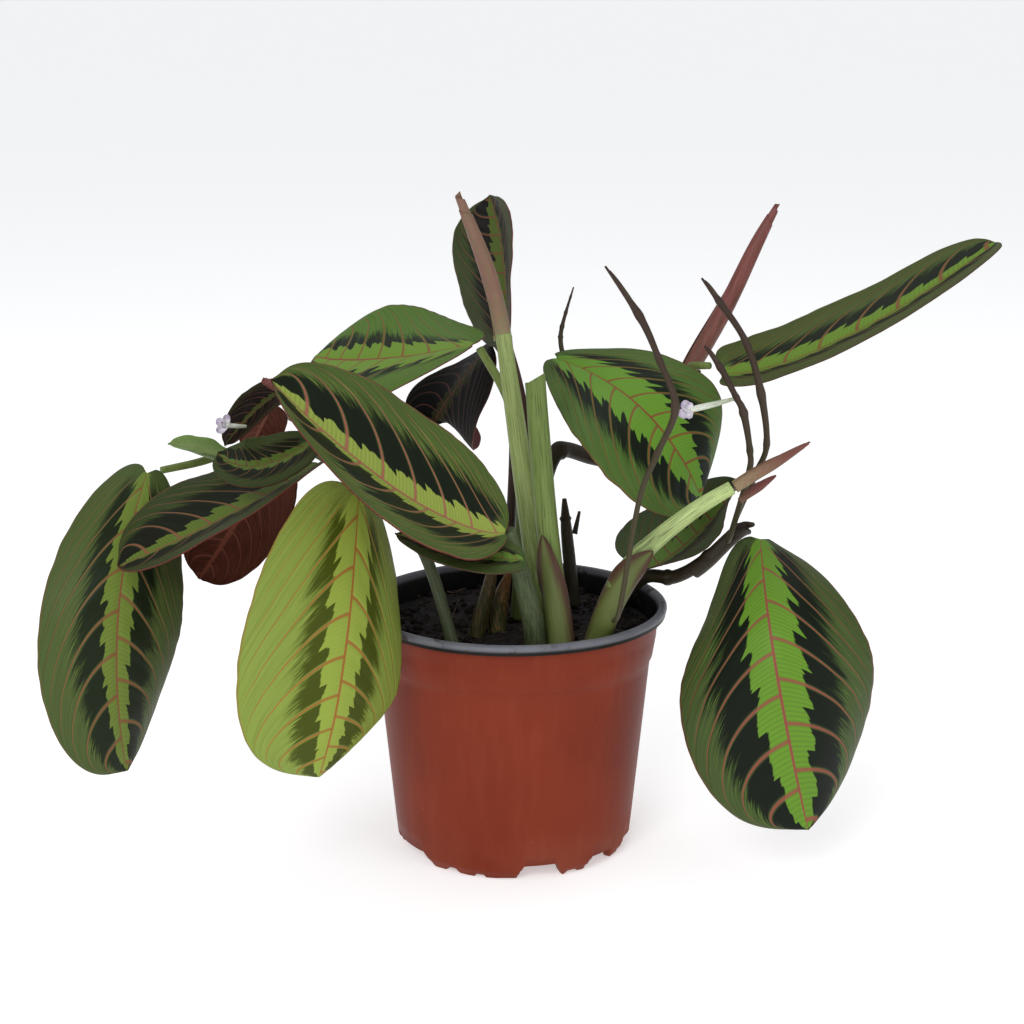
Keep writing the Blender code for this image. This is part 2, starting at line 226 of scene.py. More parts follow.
# Nursery pot: one thin blow-formed polypropylene shell, terracotta outside and grey inside, with a turned-over
# grey rim, a stacking ledge, a scalloped foot ring and a dished centre. Below the top few millimetres of the rim
# the grey is painted near black as shade.
pot_low, pot_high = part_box("pot")
RIM = pot_high.x
POT_TOP = pot_high.z
FOOT = 46.6 * MM
POT_WALL = 1.1 * MM
POT_FLOOR = 7.0 * MM
LEDGE_HEIGHT = 77.5 * MM
LEDGE_RADIUS = 53.6 * MM
PAD = 17.6 * MM
POT_STEPS = 288
WELD = 0.00001


def pot_section():
    """(radius, height) round the wall: up the inside, over the rim, down the outside and under."""
    collar = RIM - 3.2 * MM
    inside = [(0, POT_WALL), (PAD - 2 * MM, POT_WALL), (PAD - 1.2 * MM, 2 * MM),
              (PAD - 0.4 * MM, POT_FLOOR + POT_WALL), (FOOT - 4.2 * MM, POT_FLOOR + POT_WALL),
              (FOOT - 1.6 * MM, POT_FLOOR + 2.4 * MM)]
    inside += [(FOOT - POT_WALL + (LEDGE_RADIUS - FOOT) * t, POT_FLOOR + (LEDGE_HEIGHT - POT_FLOOR) * t)
               for t in (0.1, 0.3, 0.5, 0.7, 0.9, 1.0)]
    inside += [(LEDGE_RADIUS + 0.3 * MM, LEDGE_HEIGHT + 1.2 * MM),
               (collar - POT_WALL - 0.6 * MM, POT_TOP - 12 * MM), (collar - POT_WALL, POT_TOP - 5 * MM),
               (collar - 0.5 * MM, POT_TOP - 2.4 * MM), (collar - 0.2 * MM, POT_TOP - 1.2 * MM)]
    rim_centre = collar + 1.5 * MM
    lip = [(rim_centre + 1.7 * MM * math.cos(a), POT_TOP - 1.6 * MM + 1.6 * MM * math.sin(a))
           for a in map(math.radians, range(150, -61, -15))]
    lip += [(RIM - 0.5 * MM, POT_TOP - 3.9 * MM), (RIM - 1.2 * MM, POT_TOP - 4.1 * MM)]
    outside = [(collar + 0.3 * MM, POT_TOP - 4.0 * MM), (collar - 0.1 * MM, POT_TOP - 4.6 * MM),
               (collar - 0.3 * MM, POT_TOP - 8.6 * MM), (collar - 0.7 * MM, POT_TOP - 9.0 * MM),
               (collar - 0.8 * MM, POT_TOP - 12 * MM), (LEDGE_RADIUS + 0.9 * MM, LEDGE_HEIGHT + 0.5 * MM),
               (LEDGE_RADIUS + 0.6 * MM, LEDGE_HEIGHT + 0.1 * MM),
               (LEDGE_RADIUS + 0.1 * MM, LEDGE_HEIGHT - 0.3 * MM)]
    outside += [(FOOT + (LEDGE_RADIUS - FOOT) * t, POT_FLOOR + (LEDGE_HEIGHT - POT_FLOOR) * t)
                for t in (0.95, 0.8, 0.6, 0.4, 0.25, 0.14, 0.07)]
    corner = 3.2 * MM
    outside += [(FOOT - 0.2 * MM - corner * (1 - math.cos(a)), 5.6 * MM - 4.2 * MM * math.sin(a))
                for a in map(math.radians, range(0, 61, 15))]
    outside += [(FOOT - 2.2 * MM, 0.9 * MM), (FOOT - 2.7 * MM, 0.2 * MM), (FOOT - 3.5 * MM, 0.0),
                (FOOT - 4.6 * MM, 0.0), (FOOT - 5.3 * MM, 0.5 * MM), (FOOT - 5.7 * MM, POT_FLOOR - 0.8 * MM),
                (FOOT - 6.5 * MM, POT_FLOOR), (31 * MM, POT_FLOOR), (PAD + 1.4 * MM, POT_FLOOR),
                (PAD + 0.5 * MM, 0.6 * MM), (PAD, 0.0), (0, 0)]
    return inside + lip + outside


# Notches of the foot ring: (middle and half width in degrees, height in millimetres).
SCALLOPS = ((198, 8, 6.0), (212, 12, 5.6), (238, 3.2, 2.6), (253, 2.6, 1.4), (283, 10, 6.2), (300, 3, 1.6),
            (318, 9, 5.6), (345, 8, 6.0), (20, 9, 6.0), (52, 9, 6.0), (84, 9, 6.0), (116, 9, 6.0), (150, 9, 6.0))


def foot_lift(angle):
    """How far the foot ring is cut away upwards at this angle."""
    degrees = math.degrees(angle) % 360
    lift = 0.25 * MM * (1 + math.sin(math.radians(degrees) * 11.0))
    for centre, half_width, height in SCALLOPS:
        off = abs((degrees - centre + 180) % 360 - 180) / half_width
        if off < 1.25:
            edge = min(max((1.25 - off) / 0.5, 0.0), 1.0)
            lift = max(lift, height * MM * edge * edge * (3 - 2 * edge))
    return lift


terracotta, shader, loose = new_surface("terracotta_plastic", 0.5, Specular_IOR_Level=0.09)
place = loose.local()
flow = place.node("ShaderNodeMapping", {}, {"Vector": place, "Scale": (1.0, 1.0, 0.12)})
streak = loose.grain(flow, 220.0, 3.0)
cloud = loose.grain(place, 28.0, 3.0)
clay = cloud.rise(0.3, 0.7).blend((0.165, 0.024, 0.010), (0.195, 0.030, 0.012))
clay = (streak.rise(0.45, 0.75) * 0.16).blend(clay, (0.27, 0.060, 0.030))
speck = loose.grain(place, 900.0, 1.0).rise(0.78, 0.82) * loose.grain(place, 60.0, 1.0).rise(0.52, 0.62)
clay = (speck * 0.4).blend(clay, (0.45, 0.26, 0.18))
height = place.axis(2)
# Painted light: the paler band over the lowest 22 mm of the pot is light from the pale floor painted onto the
# foot; the band is also made rougher.
painted_foot_light = (1 - height.rise(0.001, 0.022)) * cloud.rise(0.35, 0.75)
feed(shader, "Base Color", (painted_foot_light * 0.4).blend(clay, (0.28, 0.10, 0.065)))
feed(shader, "Roughness", cloud * 0.16 + 0.36 + painted_foot_light * 0.2)
raise_bumps(shader, streak * 0.6 + loose.grain(place, 1400.0, 2.0) * 0.4, 0.00012, 0.35)

grey_plastic, shader, loose = new_surface("grey_plastic", 0.35, Specular_IOR_Level=0.16)
place = loose.local()
height = place.axis(2)
smear = loose.grain(place, 45.0, 4.0, 0.6)
lip_grey = smear.rise(0.3, 0.7).blend((0.105, 0.108, 0.125), (0.155, 0.16, 0.18))
unshaded_rim_top = height.rise(POT_TOP - 3.2 * MM, POT_TOP - 1.4 * MM)
# Painted shade: below the rim's top the grey is painted near black, the shade inside the pot and under the rim.
painted_inner_shade = smear.rise(0.35, 0.7).blend((0.004, 0.004, 0.004), (0.012, 0.011, 0.010))
grime = loose.grain(place, 260.0, 3.0).rise(0.56, 0.66) * loose.grain(place, 40.0, 2.0).rise(0.5, 0.6)
tone = (grime * 0.8).blend(unshaded_rim_top.blend(painted_inner_shade, lip_grey), (0.03, 0.018, 0.013))
feed(shader, "Base Color", tone)
feed(shader, "Roughness", smear * 0.2 + 0.25 + grime * 0.3)
raise_bumps(shader, smear * 0.5 + grime * 0.5, 0.0002, 0.4)

bm = bmesh.new()
line = [bm.verts.new((radius, 0.0, z)) for radius, z in pot_section()]
edges = [bm.edges.new(pair) for pair in zip(line, line[1:])]
bmesh.ops.spin(bm, geom=line + edges, cent=(0, 0, 0), axis=(0, 0, 1), angle=math.tau, steps=POT_STEPS,
               use_merge=True)
bmesh.ops.remove_doubles(bm, verts=bm.verts, dist=WELD)
bmesh.ops.recalc_face_normals(bm, faces=bm.faces)
for face in bm.faces:
    middle = face.calc_center_median()
    outward = face.normal.x * middle.x + face.normal.y * middle.y
    radius = math.hypot(middle.x, middle.y)
    under = face.normal.z < -0.5 and middle.z < POT_FLOOR + 0.5 * MM
    grey = outward < 0 and radius > FOOT - 4 * MM and middle.z > POT_FLOOR or middle.z > POT_TOP - 4.05 * MM
    floor_top = face.normal.z > 0.5 and middle.z < POT_TOP - 20 * MM
    face.material_index = 1 if (grey or floor_top) and not under else 0
for vert in bm.verts:
    radius = math.hypot(vert.co.x, vert.co.y)
    if vert.co.z < POT_FLOOR - 0.5 * MM and radius > FOOT - 6.2 * MM:
        vert.co.z = max(vert.co.z, min(foot_lift(math.atan2(vert.co.y, vert.co.x)), POT_FLOOR - 0.6 * MM))
    if vert.co.z > POT_TOP - 14 * MM:
        sag = 0.35 * MM * noise.noise(Vector((vert.co.x, vert.co.y, 0)) * 28)
        vert.co.x += sag * vert.co.x / radius
        vert.co.y += sag * vert.co.y / radius
pot = show("nursery_pot", bm, terracotta, grey_plastic)
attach(pot, "root")
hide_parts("pot")


# Potting soil: dark moist peat filled to about a centimetre below the rim, its top rough with crumbs and
# crossed by pale fibres and fine roots.
soil_low, soil_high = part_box("potting_soil")
SOIL_TOP = soil_high.z
SOIL_RADIUS = soil_high.x

peat, shader, loose = new_surface("peat", 0.95, Specular_IOR_Level=0.25)
place = loose.local()
lump = loose.grain(place, 160.0, 6.0, 0.7)
fleck = loose.grain(place, 700.0, 3.0, 0.6)
earth = lump.rise(0.3, 0.75).blend((0.003, 0.0024, 0.002), (0.016, 0.010, 0.008))
earth = (fleck.rise(0.62, 0.72) * 0.6).blend(earth, (0.055, 0.030, 0.021))
feed(shader, "Base Color", earth)
feed(shader, "Roughness", fleck * 0.3 + 0.7)
raise_bumps(shader, lump * 0.6 + fleck * 0.4, 0.0012, 0.9)

SOIL_RINGS = 56
SOIL_STEPS = 200
bm = bmesh.new()
profile = [(SOIL_RADIUS * n / SOIL_RINGS, SOIL_TOP) for n in range(SOIL_RINGS + 1)]
profile += [(LEDGE_RADIUS - 0.8 * MM, LEDGE_HEIGHT), (FOOT - 2.4 * MM, POT_FLOOR + 4 * MM),
            (FOOT - 4.4 * MM, soil_low.z), (PAD + 3 * MM, soil_low.z), (0, soil_low.z)]
line = [bm.verts.new((radius, 0.0, z)) for radius, z in profile]
edges = [bm.edges.new(pair) for pair in zip(line, line[1:])]
bmesh.ops.spin(bm, geom=line + edges, cent=(0, 0, 0), axis=(0, 0, 1), angle=math.tau, steps=SOIL_STEPS,
               use_merge=True)
bmesh.ops.remove_doubles(bm, verts=bm.verts, dist=WELD)
bmesh.ops.recalc_face_normals(bm, faces=bm.faces)
for vert in bm.verts:
    if vert.co.z > SOIL_TOP - 0.1 * MM:
        edge_room = min(1.0, (SOIL_RADIUS - math.hypot(vert.co.x, vert.co.y)) / (4 * MM))
        heap = noise.fractal(vert.co * 70, 0.8, 2.2, 4) * 1.4 + noise.noise(vert.co * 420) * 0.7
        vert.co.z += (heap + 0.2) * MM * (0.4 + 0.6 * edge_room)
soil = show("potting_soil_peat", bm, peat)
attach(soil, "root")
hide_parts("potting_soil")

scatter = random.Random(11)


def soil_spot(low=0.0, high=0.97):
    """A random spot on the soil, its share of the soil's area from low to high."""
    radius = SOIL_RADIUS * math.sqrt(scatter.uniform(low, high))
    angle = scatter.uniform(0, math.tau)
    return Vector((radius * math.cos(angle), radius * math.sin(angle), SOIL_TOP))


CRUMBS = 620
FIBRES = 45
bm = bmesh.new()
for _ in range(CRUMBS):
    made = bmesh.ops.create_icosphere(bm, subdivisions=1, radius=1.0)["verts"]
    size = scatter.choice((0.5, 0.7, 0.9, 1.3, 1.9)) * MM
    bmesh.ops.scale(bm, vec=[size * scatter.uniform(0.6, 1.3) for axis in "xyz"], verts=made)
    turned = Matrix.Rotation(scatter.uniform(0, math.tau), 3, Vector((1, 2, 3)))
    bmesh.ops.rotate(bm, matrix=turned, verts=made)
    bmesh.ops.translate(bm, vec=soil_spot() + Vector((0, 0, size * 0.3)), verts=made)
crumbs = show("peat_crumbs", bm, peat)
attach(crumbs, "root")

fibre_tone, shader, loose = new_surface("root_fibre", 0.8)
tint = loose.grain(loose.local(), 90.0)
feed(shader, "Base Color", tint.rise(0.35, 0.65).blend((0.03, 0.018, 0.012), (0.20, 0.13, 0.09)))


def smooth_route(route, along):
    """A point on the smooth line through the route's points, along 0..1, as a Vector."""
    spans = len(route) - 1
    span = min(int(along * spans), spans - 1)
    t = along * spans - span
    before, start, end, after = (Vector(route[min(max(n, 0), spans)]) for n in range(span - 1, span + 3))
    return 0.5 * (2 * start + (end - before) * t + (2 * before - 5 * start + 4 * end - after) * t * t
                  + (3 * start - before - 3 * end + after) * t * t * t)


def unfurl(bm, rows, columns, place, chart=None, closed=False):
    """Lays a grid of faces out by place(along, across), both 0..1, and keeps its UV map."""
    flat = bmesh.ops.create_grid(bm, x_segments=rows, y_segments=columns, size=0.5)["verts"]
    layer = bm.loops.layers.uv.get("blade") or bm.loops.layers.uv.new("blade")
    for face in {face for vert in flat for face in vert.link_faces}:
        for loop in face.loops:
            spot = (loop.vert.co.x + 0.5, loop.vert.co.y + 0.5)
            loop[layer].uv = chart(*spot) if chart else spot
    for vert in flat:
        vert.co = place(vert.co.x + 0.5, vert.co.y + 0.5)
    bmesh.ops.remove_doubles(bm, verts=flat, dist=WELD)
    if closed:
        kept = [vert for vert in flat if vert.is_valid]
        rims = [edge for edge in {edge for vert in kept for edge in vert.link_edges} if edge.is_boundary]
        bmesh.ops.holes_fill(bm, edges=rims, sides=0)


def around(route, along, turn):
    """The route's point (x, y, z, radius), its direction there, and the way outwards at this turn."""
    here = smooth_route(route, along)
    ahead = smooth_route(route, min(along + 0.01, 1.0)) - smooth_route(route, max(along - 0.01, 0.0))
    direction = Vector(ahead[:3]).normalized()
    side = direction.cross(Vector((0.1, 1.0, 0.05))).normalized()
    return here, direction, side * math.cos(turn) + direction.cross(side) * math.sin(turn)


def grow_tube(bm, route, rows, columns, swell=None, tilt=0.0):
    """A round stem along (x, y, z, radius) points in millimetres; swell(along, turn) scales its radius."""
    def place(along, across):
        turn = -math.tau * across
        here, direction, out = around(route, along, turn)
        radius = here[3] * (swell(along, turn) if swell else 1.0)
        cut = direction * (tilt * radius * math.cos(turn) * max(0.0, along * rows - rows + 1))
        return (Vector(here[:3]) + out * radius + cut) * MM

    unfurl(bm, rows, columns, place, closed=True)


bm = bmesh.new()
for _ in range(FIBRES):
    start = soil_spot(0.0, 0.9)
    heading = scatter.uniform(0, math.tau)
    reach = scatter.uniform(4, 13)
    points = []
    for step in range(4):
        heading += scatter.uniform(-0.7, 0.7)
        points.append((*(start / MM)[:2], SOIL_TOP / MM + scatter.uniform(0.3, 2.4),
                       scatter.choice((0.1, 0.14, 0.2))))
        start = start + Vector((math.cos(heading), math.sin(heading), 0)) * reach / 3 * MM
        start *= min(1.0, 0.97 * SOIL_RADIUS / max(start.xy.length, 0.001))
    grow_tube(bm, points, 7, 4)
fibres = show("peat_fibres", bm, fibre_tone)
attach(fibres, "root")


# Leaf blades: soft satin sheets about half a millimetre thick, quilted between arching side veins, lime
# along the midrib, near black between the veins, plain green at the margin and maroon underneath.
ARCH = 0.6
VEIN_STEP = 0.14
HALF_OFFSET = 0.62
LOBE = 0.075
BASE_ANGLE = 0.05
BLADE = 0.45 * MM


def paint(code):
    """A colour written as the six hex digits of its shade on the finished surface."""
    parts = [int(code[n:n + 2], 16) / 255 for n in (0, 2, 4)]
    return tuple(c / 12.92 if c <= 0.04045 else ((c + 0.055) / 1.055) ** 2.4 for c in parts)


def vein_phase(along, across):
    """Counts the side veins from the leaf base; whole numbers lie on a vein. Takes numbers or wires."""
    bend = across * (across * 0.8 + 0.2) * ARCH
    root = ((bend * bend + (1 - along) * 4) ** 0.5 + bend) * 0.5
    return (1 - root * root) * (1 / VEIN_STEP)


def leaf_chart(loose, seed):
    """Wires over a blade's UV map: along, across, which half, the vein count, the distance to the
    nearest vein, and lanes for noise that runs with the veins."""
    chart = loose.blade()
    along, half = chart.axis(0), chart.axis(1)
    across = abs(half * 2 - 1)
    side = half.rise(0.4999, 0.5001)
    phase = vein_phase(along, across) + side * HALF_OFFSET
    nearest = 0.5 - abs(phase % 1.0 - 0.5)
    return along, across, side, phase, nearest, chart.vector(phase * 7, across * 1.6, side * 9 + seed)


def leaf_face(name, lime, margin, dark, vein, band=1.0, blotch=0.62, streak=0.6, seed=0.0, gloss=0.40):
    """The upper side: lime band as wide as band, dark out to blotch, pale flecks by streak, then margin."""
    material, shader, loose = new_surface(name, gloss, Specular_IOR_Level=0.10)
    along, across, side, phase, nearest, lanes = leaf_chart(loose, seed)
    coarse = loose.grain(lanes, 1.0, 2.0)
    fine = loose.grain(lanes, 3.6, 3.0, 0.6)
    soft = loose.grain(lanes, 0.33, 1.0)
    teeth = (phase + 0.42) % 1.0
    steps = (phase * 3.5 + side * 0.3) % 1.0
    edge = (0.32 - along * 0.15) * (teeth * 0.38 + steps * 0.07 + 0.70) * band + (soft - 0.5) * 0.16
    edge = edge + (coarse - 0.5) * 0.03
    inner = 1 - (across - edge).rise(-0.008, 0.008)
    reach = across + (fine - 0.5) * 0.5 + (soft - 0.5) * 0.35
    shade = (1 - reach.rise(blotch - 0.07, blotch + 0.09)) * (along + across * 0.12).rise(0.05, 0.13)
    shade = shade * nearest.rise(0.02, 0.10)
    pale = fine.rise(0.52, 0.70) * across.rise(blotch - 0.2, blotch) * (1 - across.rise(blotch + 0.05, 0.95) * 0.8)
    outer = (pale * streak).blend(margin, lime)
    outer = (coarse.rise(0.4, 0.7) * 0.22).blend(outer, dark)
    rib = phase * 9 % 1.0 - 0.5
    ribs = rib * rib
    inside = ((1 - ribs.rise(0.0, 0.09)) * 0.24).blend(lime, margin)
    tint = inner.blend(shade.blend(outer, dark), inside)
    width = 0.056 - across * 0.024
    line = (1 - nearest.rise(width * 0.55, width)) * (1 - across.rise(0.84, 0.96)) * along.rise(0.02, 0.05)
    mid = 1 - across.rise(0.008, 0.019)
    rim = across.rise(0.965, 0.995) * 0.45
    feed(shader, "Base Color", rim.blend((line * 0.88 + mid - line * mid * 0.88).blend(tint, vein), vein))
    feed(shader, "Roughness", fine * 0.16 + (gloss - 0.08))
    raise_bumps(shader, nearest.rise(0.0, 0.16) * 0.8 + fine * 0.28 + ribs * 0.4, 0.0004, 0.55)
    return material


def leaf_back(name, ground, vein, seed):
    """The underside: one ground colour, darker in lanes, with raised veins."""
    material, shader, loose = new_surface(name, 0.5, Specular_IOR_Level=0.12)
    along, across, side, phase, nearest, lanes = leaf_chart(loose, seed)
    fine = loose.grain(lanes, 2.6, 3.0, 0.6)
    deep = tuple(c * 0.45 for c in ground)
    tint = fine.rise(0.3, 0.7).blend(ground, deep)
    line = (1 - nearest.rise(0.03, 0.07)) * (1 - across.rise(0.8, 0.97))
    mid = 1 - across.rise(0.03, 0.06)
    feed(shader, "Base Color", (line * 0.5 + mid * 0.6 - line * mid * 0.5).blend(tint, vein))
    feed(shader, "Roughness", fine * 0.2 + 0.38)
    raise_bumps(shader, nearest.rise(0.0, 0.12) * -1 + fine * 0.25, 0.0005, 0.6)
    return material


def leaf_place(leaf, seed):
    """A function that puts a blade's grid in place, from the leaf's midrib, outline, folds and curl."""
    base, mid, tip = (Vector(leaf[key]) for key in ("base", "mid", "tip"))
    bias = math.log(leaf.get("belly", 0.5)) / math.log(0.5)
    curl = math.radians(leaf.get("curl", 0)) + 1e-6
    quilt = leaf.get("quilt", 0.35)
    ripple = leaf.get("ripple", 0.9)

    def along_at(row, side):
        centre = ((1 - math.cos(math.pi * row)) / 2) ** bias
        angle = BASE_ANGLE + (math.pi - BASE_ANGLE) * row
        margin = centre - leaf.get("lobe", LOBE) * max(math.sin(angle), 0) ** 0.5 * (1 - centre) ** 6
        return centre + (margin - centre) * abs(side) ** 1.3

    def place(row, across):
        side = 1 - 2 * across
        angle = BASE_ANGLE + (math.pi - BASE_ANGLE) * row
        breadth = max(math.sin(angle), 0.0) ** leaf.get("round", 0.8)
        along = along_at(row, side)
        spot = (base * (1 - along) * (1 - 2 * along) + mid * 4 * along * (1 - along)
                + tip * along * (2 * along - 1))
        direction = (base * (4 * along - 3) + mid * (4 - 8 * along) + tip * (4 * along - 1)).normalized()
        normal = Vector(leaf["faces"])
        normal = (normal - direction * normal.dot(direction)).normalized()
        normal = Matrix.Rotation(math.radians(leaf.get("twist", 0)) * (along - 0.5), 3, direction) @ normal
        fold = math.radians(leaf["fold"][1 if side > 0 else 0])
        size = abs(side)
        out = (math.sin(fold + curl * size) - math.sin(fold)) / curl
        lift = (math.cos(fold) - math.cos(fold + curl * size)) / curl
        wobble = noise.noise(Vector((along * 5, side * 1.5, seed * 3.1)))
        reach = leaf["half"] * breadth * (1 + 0.018 * size * noise.noise(Vector((along * 16, seed * 7, side))))
        spot += direction.cross(normal) * math.copysign(out, side) * reach + normal * lift * reach
        phase = vein_phase(min(max(along, 0), 1), size) + (HALF_OFFSET if side < 0 else 0)
        swell = math.sin(math.pi * (phase % 1.0)) ** 0.6 * min(1, size * 5) * (1 - size ** 4)
        spot += normal * (quilt * (swell - 0.6) * min(1, breadth * 2)
                          + ripple * size * size * wobble + 0.35 * ripple * wobble
                          - 0.8 * quilt * math.exp(-(size / 0.035) ** 2) * breadth)
        drip = min(max((row - 0.955) / 0.045, 0), 1)
        return (spot + direction * leaf.get("drip", 0.8) * drip * drip * (3 - 2 * drip)) * MM

    def chart(row, across):
        return (min(max(along_at(row, 1 - 2 * across), 0.0), 1.0), 1 - across)

    return place, chart


def settle(thing, node, by_top=False):
    """Moves a finished shape so that its box and the CAD node's box share their middle, or their top."""
    low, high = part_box(node)
    corners = [vert.co for vert in thing.data.vertices]
    lowest, highest = (Vector([pick(corner[k] for corner in corners) for k in range(3)]) for pick in (min, max))
    shift = (low + high - lowest - highest) / 2
    if by_top:
        shift = Vector((0, 0, high.z - highest.z))
    thing.data.transform(Matrix.Translation(shift))


def thicken(thing, thickness):
    """Turns a finished sheet into a thin solid, inwards from its face."""
    solid = thing.modifiers.new("thickness", "SOLIDIFY")
    solid.thickness = thickness
    solid.offset = -1
    return solid


def hang(thing, node):
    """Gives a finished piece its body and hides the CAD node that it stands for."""
    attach(thing, "root")
    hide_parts(node)


def add_leaf(node, leaf, face, back, seed, rows=112, columns=60, blade=BLADE):
    """One blade in the CAD node's place, its face and back in two materials."""
    bm = bmesh.new()
    place, chart = leaf_place(leaf, seed)
    unfurl(bm, rows, columns, place, chart)
    thing = show(f"{node}_blade", bm, face, back)
    settle(thing, node)
    solid = thicken(thing, blade)
    solid.material_offset = 1
    solid.material_offset_rim = 1
    hang(thing, node)


MAROON = leaf_back("leaf_back_maroon", paint("6a2f2a"), paint("8f4a42"), 1)
DULL = leaf_back("leaf_back_dull", paint("4e3a2b"), paint("7d4a40"), 2)

front_leaf = dict(base=(-3, -56, 140), mid=(-37, -59, 154), tip=(-83, -73, 198),
                  faces=(0.37, -0.39, 0.84), half=38, fold=(17, 15), belly=0.56, round=0.9)
add_leaf("front_leaf", front_leaf,
         leaf_face("front_leaf_face", paint("8d9c46"), paint("4b5e2c"), paint("141c10"), paint("97584c"),
                   band=0.85, blotch=0.62, streak=0.75, seed=3, gloss=0.36), MAROON, 3)
yellow_leaf = dict(base=(-56, -52, 152), mid=(-60, -82, 98), tip=(-70, -79, 55),
                   faces=(0.51, -0.86, -0.04), half=39, fold=(-14, 5), curl=-27, belly=0.52,
                   round=0.85)
add_leaf("yellow_leaf", yellow_leaf,
         leaf_face("yellow_leaf_face", paint("8d9f40"), paint("7f9140"), paint("414a10"), paint("96602f"),
                   band=0.9, blotch=0.46, streak=0.5, seed=8, gloss=0.42), DULL, 8)
left_leaf = dict(base=(-139, -12, 151.5), mid=(-146, -46, 104), tip=(-148, -32, 40),
                 faces=(0.3, -0.83, 0.48), half=29, fold=(-11, 7), curl=-29, twist=-20, belly=0.6,
                 round=0.8, lobe=0.11)
add_leaf("left_leaf", left_leaf,
         leaf_face("left_leaf_face", paint("6b7f33"), paint("49582e"), paint("1b2413"), paint("7d5136"),
                   band=0.85, blotch=0.5, streak=0.5, seed=12), MAROON, 12)
right_leaf = dict(base=(94, -15, 126), mid=(95, -60, 92), tip=(110, -55, 25),
                  faces=(-0.02, -1.0, -0.1), half=41, fold=(-6, -12), curl=-32, twist=-42, belly=0.66,
                  round=0.74, lobe=0.14)
add_leaf("right_leaf", right_leaf,
         leaf_face("right_leaf_face", paint("618a2a"), paint("43522b"), paint("12180f"), paint("86493c"),
                   band=1.15, blotch=0.60, streak=0.55, seed=5), MAROON, 5)
centre_leaf = dict(base=(17, 37, 187.5), mid=(49, -2, 175), tip=(72, -3, 141),
                   faces=(0.22, -0.75, 0.62), half=34, fold=(2, 11), curl=-13, twist=-23, belly=0.66,
                   round=0.95, lobe=0.13)
add_leaf("centre_leaf", centre_leaf,
         leaf_face("centre_leaf_face", paint("5f8a2b"), paint("4a632c"), paint("10180c"), paint("78442c"),
                   band=1.45, blotch=0.62, streak=0.4, seed=21), MAROON, 21)
arm_leaf = dict(base=(83.5, 25, 183.5), mid=(130, 34, 196), tip=(194, 58, 230.5),
                faces=(-0.41, -0.28, 0.87), half=20, fold=(18, 14), twist=-8, belly=0.5, round=0.5,
                lobe=0.1)
add_leaf("arm_leaf", arm_leaf,
         leaf_face("arm_leaf_face", paint("66862e"), paint("455226"), paint("141b0c"), paint("7c4a33"),
                   band=1.0, blotch=0.5, streak=0.5, seed=31), DULL, 31)
low_leaf = dict(base=(52, 5, 110), mid=(71, 25, 117), tip=(91, 34, 138), faces=(-0.08, -0.17, 0.98),
                half=27, fold=(8, 29), curl=5, twist=-14)
add_leaf("low_leaf", low_leaf,
         leaf_face("low_leaf_face", paint("5a7a2c"), paint("3c4f26"), paint("1a240f"), paint("7a3a34"),
                   band=1.0, blotch=0.5, streak=0.4, seed=41), DULL, 41, 80, 44)
purple_backed_leaf = dict(base=(-74, -14, 156), mid=(-103, -40, 144), tip=(-143, -53, 127),
                          faces=(0.01, -0.17, 0.99), half=33, fold=(25, 5), twist=-33, round=0.84)
add_leaf("purple_backed_leaf", purple_backed_leaf,
         leaf_face("purple_backed_leaf_face", paint("5c6f2c"), paint("34401c"), paint("15180c"),
                   paint("80503c"), band=0.8, blotch=0.6, streak=0.4, seed=51), MAROON, 51)
upper_leaf = dict(base=(-16, 8, 198), mid=(-56, 40, 187), tip=(-82, 75, 182), faces=(-0.13, -0.53, 0.84),
                  half=36, fold=(3, 5), curl=-15, twist=-38, belly=0.61, round=0.83)
add_leaf("upper_leaf", upper_leaf,
         leaf_face("upper_leaf_face", paint("6a8a2c"), paint("4f6f26"), paint("16200c"), paint("7e4a30"),
                   band=1.1, blotch=0.40, streak=0.4, seed=61), MAROON, 61)
tall_leaf = dict(base=(-3, 45, 195), mid=(-5, 60, 223), tip=(-10, 67, 248), faces=(-0.63, -0.63, -0.46),
                 half=31, fold=(9, 23), belly=0.54, round=0.84)
add_leaf("tall_leaf", tall_leaf,
         leaf_face("tall_leaf_face", paint("4c5a24"), paint("343f1e"), paint("120f0b"), paint("6b3a30"),
                   band=0.9, blotch=0.6, streak=0.4, seed=71), MAROON, 71)
# The dark leaf hangs in shadow behind the shoots; its near-black colours are painted shade.
dark_leaf = dict(base=(-10, 60, 189), mid=(-28, 86, 162), tip=(-34, 94, 149), faces=(0.11, -0.65, 0.75),
                 half=26, fold=(-10, -5), curl=-28, twist=-7, belly=0.47, round=0.83)
add_leaf("dark_leaf", dark_leaf,
         leaf_face("shaded_dark_leaf_face", paint("2c2e12"), paint("17140c"), paint("090706"), paint("5a352c"),
                   band=0.7, blotch=0.9, streak=0.3, seed=81, gloss=0.7), MAROON, 81)
under_leaf = dict(base=(3, -61, 131.5), mid=(-17, -63, 134.5), tip=(-42, -58, 140),
                  faces=(0.25, -0.42, 0.85), half=12, fold=(10, 10), round=1.1)
add_leaf("under_leaf", under_leaf,
         leaf_face("under_leaf_face", paint("5f7f30"), paint("3f5228"), paint("18200f"), paint("7a4638"),
                   band=1.0, blotch=0.5, streak=0.4, seed=91), DULL, 91, 64, 36)
curled_leaf = dict(base=(-76, -27, 167), mid=(-94, -38, 161), tip=(-108, -37, 165),
                   faces=(0, -0.75, 0.66), half=11, fold=(15, 15))
add_leaf("curled_leaf", curled_leaf,
         leaf_face("curled_leaf_face", paint("566a2c"), paint("33421f"), paint("171c0e"), paint("6c4534"),
                   band=0.8, blotch=0.6, streak=0.4, seed=95), MAROON, 95, 48, 28)
